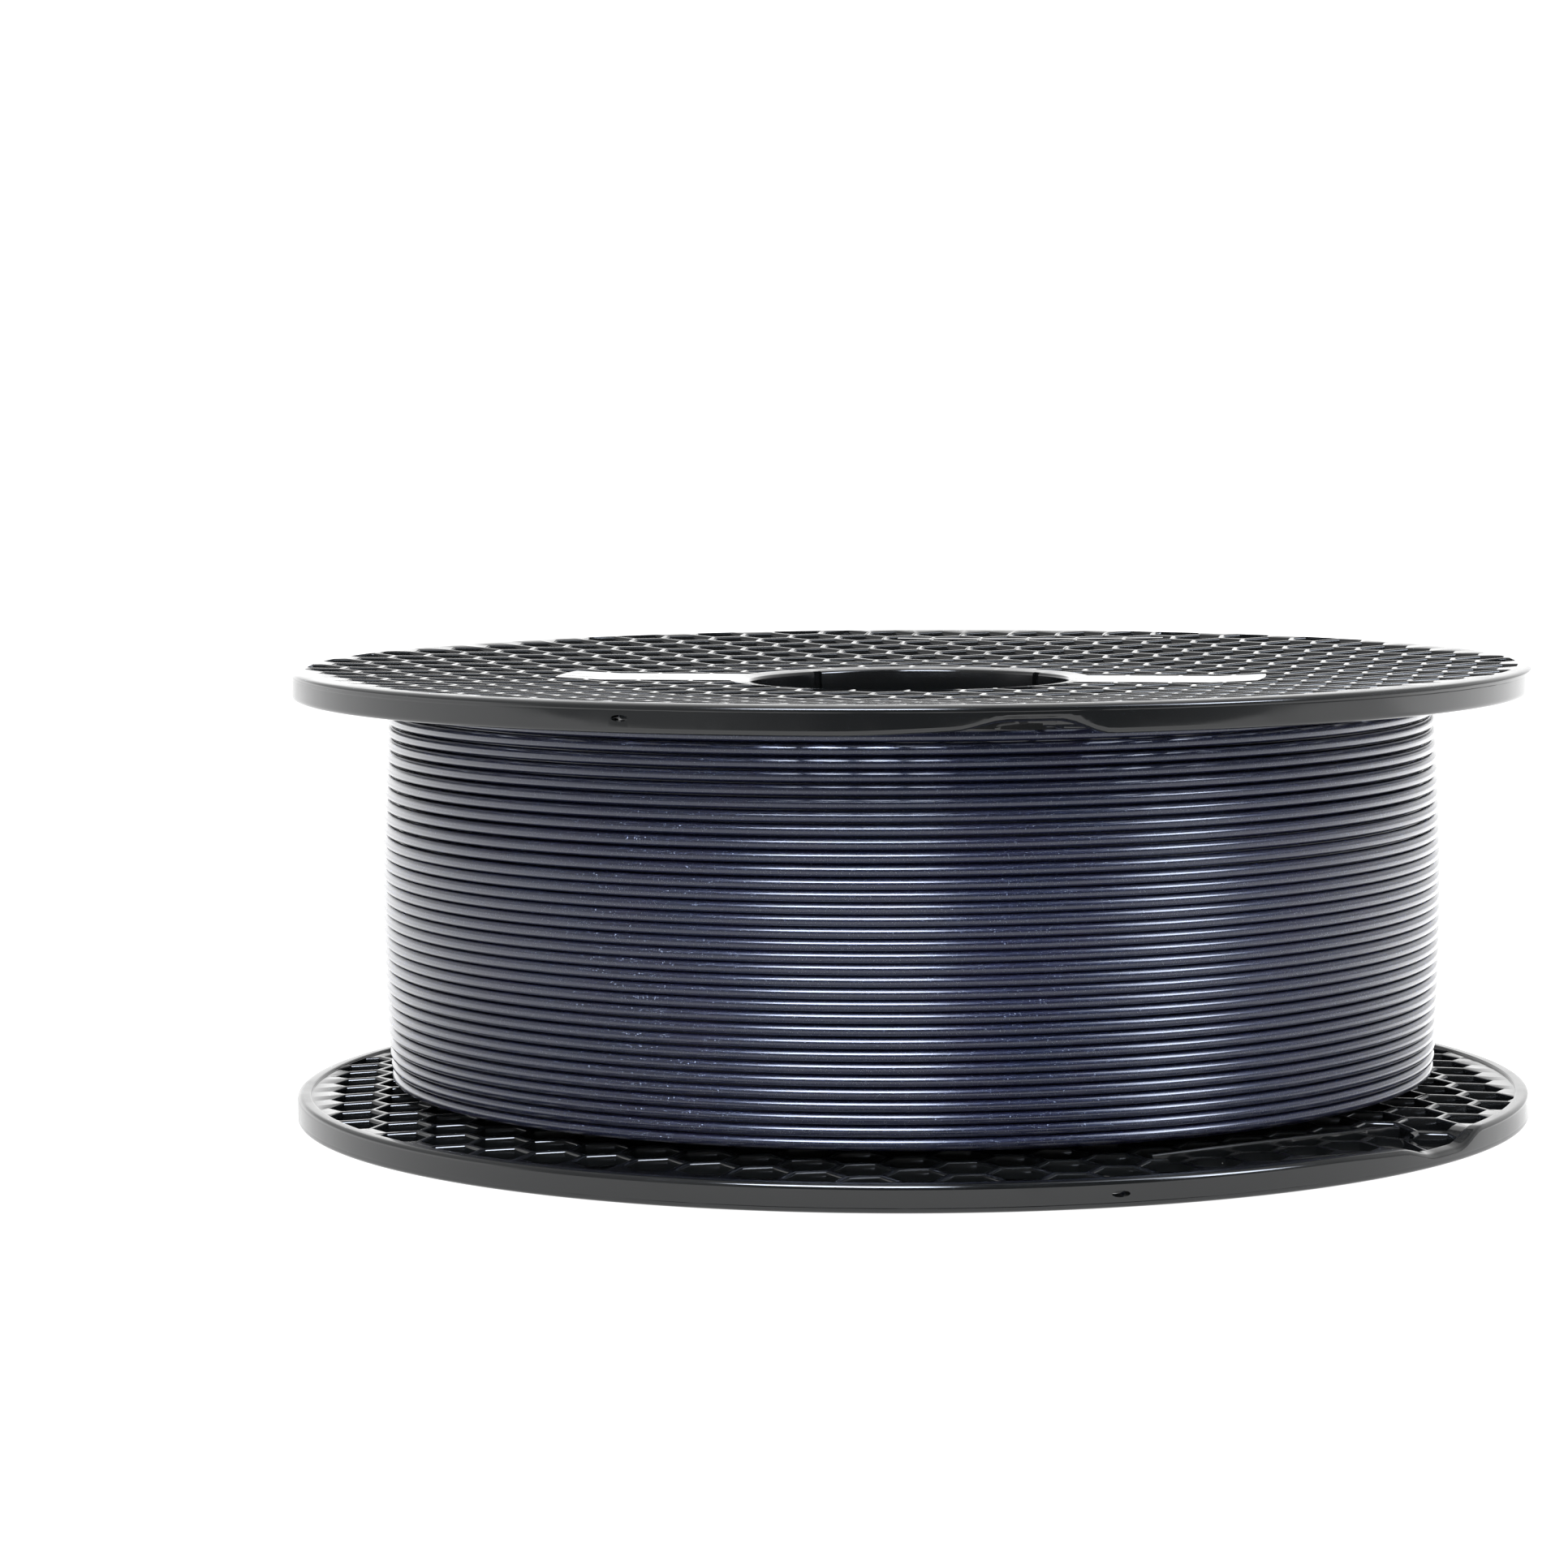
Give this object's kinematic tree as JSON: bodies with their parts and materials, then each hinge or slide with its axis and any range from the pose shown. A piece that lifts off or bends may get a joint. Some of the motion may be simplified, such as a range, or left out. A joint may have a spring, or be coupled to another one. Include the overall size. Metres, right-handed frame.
{
  "type": "filament spool",
  "caption": "Full spool of 3-D printing filament: two dished honeycomb flanges with hub bores on a cardboard core, wound with one strand.",
  "frame": {"origin": "centre of the base, on the plane of the lower flange's rim", "axes": "+Z along the spool's axis, from the lower flange to the upper flange; X and Y in the plane of the flanges"},
  "size_m": [0.201, 0.201, 0.0734],
  "materials": {
    "flange_plastic": "glossy black injection-moulded plastic",
    "core_card": "raw wound cardboard",
    "filament": "glossy midnight blue with fine glitter"
  },
  "bodies": {
    "root": {"lower_flange": "flange_plastic", "upper_flange": "flange_plastic", "core_tube": "core_card", "filament_pack": "filament", "filament_turns": "filament"}
  },
  "joints": []
}
